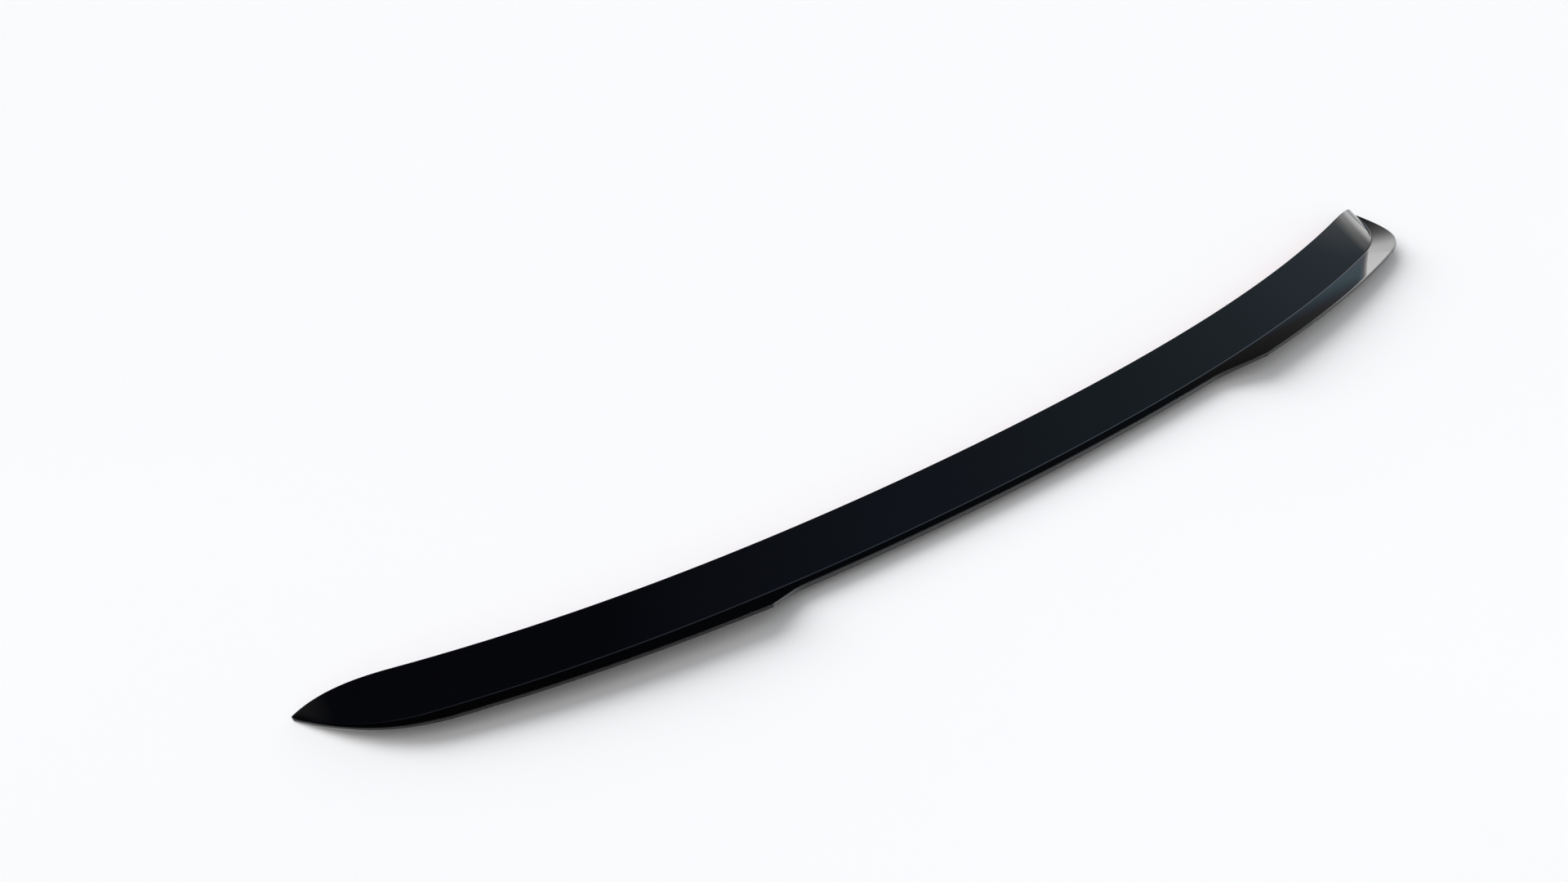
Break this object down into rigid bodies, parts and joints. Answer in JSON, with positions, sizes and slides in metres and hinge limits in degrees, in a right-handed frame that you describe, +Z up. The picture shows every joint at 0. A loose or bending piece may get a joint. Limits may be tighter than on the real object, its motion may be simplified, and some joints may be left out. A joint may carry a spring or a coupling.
{
  "type": "roof spoiler trailing edge cap",
  "caption": "Long swept gloss-black cap for a car's roof spoiler, with a notched kick-up lip and double-sided tape under a red liner.",
  "frame": {"origin": "centre of the part's box in plan, on the surface that its bend line rests on", "axes": "+X along the span to the right, +Y to the front of the car, +Z up"},
  "size_m": [1.24, 0.1533, 0.0257],
  "materials": {
    "gloss_shell": "gloss",
    "lip_underside": "satin",
    "adhesive": "matte",
    "foam_tape": "matte",
    "liner_film": "satin"
  },
  "bodies": {
    "root": {"upper_shell": "gloss_shell", "lower_lip_panel": "lip_underside", "panel_bond_left": "adhesive", "panel_bond_centre": "adhesive", "panel_bond_right": "adhesive", "mounting_tape_left": "foam_tape", "mounting_tape_centre": "foam_tape", "mounting_tape_right": "foam_tape", "release_liner_left": "liner_film", "release_liner_centre": "liner_film", "release_liner_right": "liner_film"}
  },
  "joints": []
}
